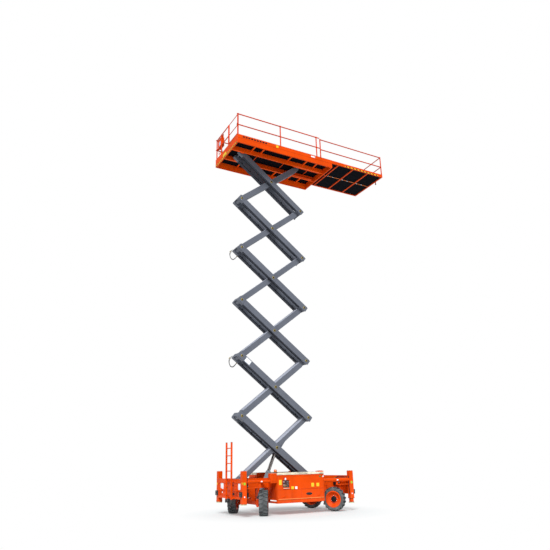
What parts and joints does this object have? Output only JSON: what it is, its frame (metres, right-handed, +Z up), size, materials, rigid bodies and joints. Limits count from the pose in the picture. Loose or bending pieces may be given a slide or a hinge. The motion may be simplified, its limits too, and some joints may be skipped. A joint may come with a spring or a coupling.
{
  "type": "rough-terrain scissor lift",
  "caption": "Self-propelled scissor lift with crossed arm pairs raising a railed platform that has a sliding deck extension, on a wheeled chassis with corner outriggers.",
  "frame": {"origin": "on the ground, under the middle of the whole machine with its deck extension out", "axes": "+X from the ladder end with the steered wheels to the end the deck extends over, +Y from the near side with the control window to the far side, +Z up"},
  "size_m": [7.89, 2.6595, 16.0749],
  "materials": {
    "black_plastic": "textured black plastic",
    "chrome_rod": "polished hard chrome",
    "engine_metal": "dull cast metal",
    "grey_paint": "satin blue-grey paint",
    "hose_rubber": "semi-matt black hose",
    "orange_paint": "satin orange paint with light wear",
    "tyre": "dull black tread rubber with dust"
  },
  "bodies": {
    "chassis": {"chassis_frame": "orange_paint", "outrigger_posts": "orange_paint", "axles": "orange_paint", "side_housings": "orange_paint", "engine_block": "engine_metal", "ladder": "orange_paint", "end_frames": "orange_paint"},
    "door_near": {"housing_door_near": "orange_paint"},
    "door_far": {"housing_door_far": "orange_paint"},
    "lift_barrels": {"lift_barrels": "grey_paint"},
    "lift_rods": {"lift_rods": "chrome_rod"},
    "platform": {"platform_deck": "orange_paint", "platform_rails": "orange_paint", "control_box": "black_plastic"},
    "entry_gate": {"entry_gate": "orange_paint"},
    "extension": {"extension_deck": "orange_paint", "extension_rails": "orange_paint"},
    "wheel_front_near": {"rim_front_near": "orange_paint", "tyre_front_near": "tyre"},
    "leg_front_near": {"outrigger_leg_front_near": "orange_paint"},
    "knuckle_front_near": {"knuckle_front_near": "orange_paint"},
    "wheel_front_far": {"rim_front_far": "orange_paint", "tyre_front_far": "tyre"},
    "leg_front_far": {"outrigger_leg_front_far": "orange_paint"},
    "knuckle_front_far": {"knuckle_front_far": "orange_paint"},
    "wheel_rear_near": {"rim_rear_near": "orange_paint", "tyre_rear_near": "tyre"},
    "leg_rear_near": {"outrigger_leg_rear_near": "orange_paint"},
    "knuckle_rear_near": {"knuckle_rear_near": "orange_paint"},
    "wheel_rear_far": {"rim_rear_far": "orange_paint", "tyre_rear_far": "tyre"},
    "leg_rear_far": {"outrigger_leg_rear_far": "orange_paint"},
    "knuckle_rear_far": {"knuckle_rear_far": "orange_paint"},
    "inner_arm_1": {"inner_arm_1": "grey_paint"},
    "inner_arm_2": {"inner_arm_2": "grey_paint"},
    "inner_arm_3": {"inner_arm_3": "grey_paint"},
    "inner_arm_4": {"inner_arm_4": "grey_paint"},
    "inner_arm_5": {"inner_arm_5": "grey_paint"},
    "inner_arm_6": {"inner_arm_6": "grey_paint"},
    "outer_arm_1": {"outer_arm_1": "grey_paint"},
    "outer_arm_2": {"outer_arm_2": "grey_paint", "arm_hoses_2": "hose_rubber"},
    "outer_arm_3": {"outer_arm_3": "grey_paint"},
    "outer_arm_4": {"outer_arm_4": "grey_paint", "arm_hoses_4": "hose_rubber"},
    "outer_arm_5": {"outer_arm_5": "grey_paint"},
    "outer_arm_6": {"outer_arm_6": "grey_paint"}
  },
  "joints": [
    {"name": "lift", "type": "hinge", "parent": "chassis", "child": "inner_arm_1", "pos_m": [-3.32, 0, 1.165], "axis": [0, -1, 0], "range_deg": [-33.66, 0]},
    {"name": "cross_1", "type": "hinge", "parent": "inner_arm_1", "child": "outer_arm_1", "pos_m": [-1.8594, 0, 2.30041], "axis": [0, -1, 0], "range_deg": [0, 67.32]},
    {"name": "right_1", "type": "hinge", "parent": "inner_arm_1", "child": "outer_arm_2", "pos_m": [-0.3988, 0, 3.43582], "axis": [0, -1, 0], "range_deg": [0, 67.32]},
    {"name": "cross_2", "type": "hinge", "parent": "outer_arm_2", "child": "inner_arm_2", "pos_m": [-1.8594, 0, 4.57123], "axis": [0, -1, 0], "range_deg": [-67.32, 0]},
    {"name": "left_2", "type": "hinge", "parent": "outer_arm_2", "child": "inner_arm_3", "pos_m": [-3.32, 0, 5.70663], "axis": [0, -1, 0], "range_deg": [-67.32, 0]},
    {"name": "cross_3", "type": "hinge", "parent": "inner_arm_3", "child": "outer_arm_3", "pos_m": [-1.8594, 0, 6.84204], "axis": [0, -1, 0], "range_deg": [0, 67.32]},
    {"name": "right_3", "type": "hinge", "parent": "inner_arm_3", "child": "outer_arm_4", "pos_m": [-0.3988, 0, 7.97745], "axis": [0, -1, 0], "range_deg": [0, 67.32]},
    {"name": "cross_4", "type": "hinge", "parent": "outer_arm_4", "child": "inner_arm_4", "pos_m": [-1.8594, 0, 9.11286], "axis": [0, -1, 0], "range_deg": [-67.32, 0]},
    {"name": "left_4", "type": "hinge", "parent": "outer_arm_4", "child": "inner_arm_5", "pos_m": [-3.32, 0, 10.24827], "axis": [0, -1, 0], "range_deg": [-67.32, 0]},
    {"name": "cross_5", "type": "hinge", "parent": "inner_arm_5", "child": "outer_arm_5", "pos_m": [-1.8594, 0, 11.38367], "axis": [0, -1, 0], "range_deg": [0, 67.32]},
    {"name": "right_5", "type": "hinge", "parent": "inner_arm_5", "child": "outer_arm_6", "pos_m": [-0.3988, 0, 12.51908], "axis": [0, -1, 0], "range_deg": [0, 67.32]},
    {"name": "cross_6", "type": "hinge", "parent": "outer_arm_6", "child": "inner_arm_6", "pos_m": [-1.8594, 0, 13.65449], "axis": [0, -1, 0], "range_deg": [-67.32, 0]},
    {"name": "platform_level", "type": "hinge", "parent": "outer_arm_6", "child": "platform", "pos_m": [-3.32, 0, 14.7899], "axis": [0, -1, 0], "range_deg": [-33.66, 0]},
    {"name": "cylinder_swing", "type": "hinge", "parent": "chassis", "child": "lift_barrels", "pos_m": [-2.475, 0, 0.56], "axis": [0, -1, 0], "range_deg": [-34.41, 0]},
    {"name": "cylinder_stroke", "type": "slide", "parent": "lift_barrels", "child": "lift_rods", "axis": [0.4023, 0, 0.9155], "range_m": [-0.6, 0]},
    {"name": "extension_slide", "type": "slide", "parent": "platform", "child": "extension", "axis": [1, 0, 0], "range_m": [-3, 0]},
    {"name": "gate_hinge", "type": "hinge", "parent": "platform", "child": "entry_gate", "pos_m": [-3.905, -0.23, 15.5249], "axis": [0, 0, 1], "range_deg": [0, 90]},
    {"name": "steer_front_near", "type": "hinge", "parent": "chassis", "child": "knuckle_front_near", "pos_m": [-2.935, -0.76, 0.427], "axis": [0, 0, 1], "range_deg": [-114, 0]},
    {"name": "steer_front_far", "type": "hinge", "parent": "chassis", "child": "knuckle_front_far", "pos_m": [-2.935, 0.76, 0.427], "axis": [0, 0, 1], "range_deg": [-114, 0]},
    {"name": "steer_rear_near", "type": "hinge", "parent": "chassis", "child": "knuckle_rear_near", "pos_m": [0.305, -0.85, 0.427], "axis": [0, 0, 1], "range_deg": [0, 94]},
    {"name": "steer_rear_far", "type": "hinge", "parent": "chassis", "child": "knuckle_rear_far", "pos_m": [0.305, 0.85, 0.427], "axis": [0, 0, 1], "range_deg": [0, 94]},
    {"name": "spin_front_near", "type": "hinge", "parent": "knuckle_front_near", "child": "wheel_front_near", "pos_m": [-2.74447, -0.87, 0.427], "axis": [0.866, -0.5, 0], "continuous": true},
    {"name": "spin_front_far", "type": "hinge", "parent": "knuckle_front_far", "child": "wheel_front_far", "pos_m": [-3.11298, 0.88931, 0.427], "axis": [-0.809, 0.5878, 0], "continuous": true},
    {"name": "spin_rear_near", "type": "hinge", "parent": "knuckle_rear_near", "child": "wheel_rear_near", "pos_m": [0.21001, -0.92971, 0.427], "axis": [-0.766, -0.6428, 0], "continuous": true},
    {"name": "spin_rear_far", "type": "hinge", "parent": "knuckle_rear_far", "child": "wheel_rear_far", "pos_m": [0.39114, 0.9392, 0.427], "axis": [0.6947, 0.7193, 0], "continuous": true},
    {"name": "leg_front_near", "type": "slide", "parent": "chassis", "child": "leg_front_near", "axis": [0, 0, -1], "range_m": [0, 0.37]},
    {"name": "leg_front_far", "type": "slide", "parent": "chassis", "child": "leg_front_far", "axis": [0, 0, -1], "range_m": [0, 0.37]},
    {"name": "leg_rear_near", "type": "slide", "parent": "chassis", "child": "leg_rear_near", "axis": [0, 0, -1], "range_m": [0, 0.25]},
    {"name": "leg_rear_far", "type": "slide", "parent": "chassis", "child": "leg_rear_far", "axis": [0, 0, -1], "range_m": [0, 0.25]},
    {"name": "door_near", "type": "hinge", "parent": "chassis", "child": "door_near", "pos_m": [-1.345, -1.138, 1.314], "axis": [-1, 0, 0], "range_deg": [0, 100]},
    {"name": "door_far", "type": "hinge", "parent": "chassis", "child": "door_far", "pos_m": [-1.345, 1.138, 1.314], "axis": [1, 0, 0], "range_deg": [0, 100]}
  ],
  "couplings": [
    {"joint": "cross_1", "follows": "lift", "ratio": -2},
    {"joint": "right_1", "follows": "lift", "ratio": -2},
    {"joint": "cross_2", "follows": "lift", "ratio": 2},
    {"joint": "left_2", "follows": "lift", "ratio": 2},
    {"joint": "cross_3", "follows": "lift", "ratio": -2},
    {"joint": "right_3", "follows": "lift", "ratio": -2},
    {"joint": "cross_4", "follows": "lift", "ratio": 2},
    {"joint": "left_4", "follows": "lift", "ratio": 2},
    {"joint": "cross_5", "follows": "lift", "ratio": -2},
    {"joint": "right_5", "follows": "lift", "ratio": -2},
    {"joint": "cross_6", "follows": "lift", "ratio": 2},
    {"joint": "platform_level", "follows": "lift", "ratio": 1},
    {"joint": "cylinder_swing", "follows": "lift", "ratio": 1.0162},
    {"joint": "cylinder_stroke", "follows": "lift", "m_per_rad": 1.0185},
    {"joint": "steer_front_far", "follows": "steer_front_near", "ratio": 1},
    {"joint": "steer_rear_far", "follows": "steer_rear_near", "ratio": 1}
  ]
}
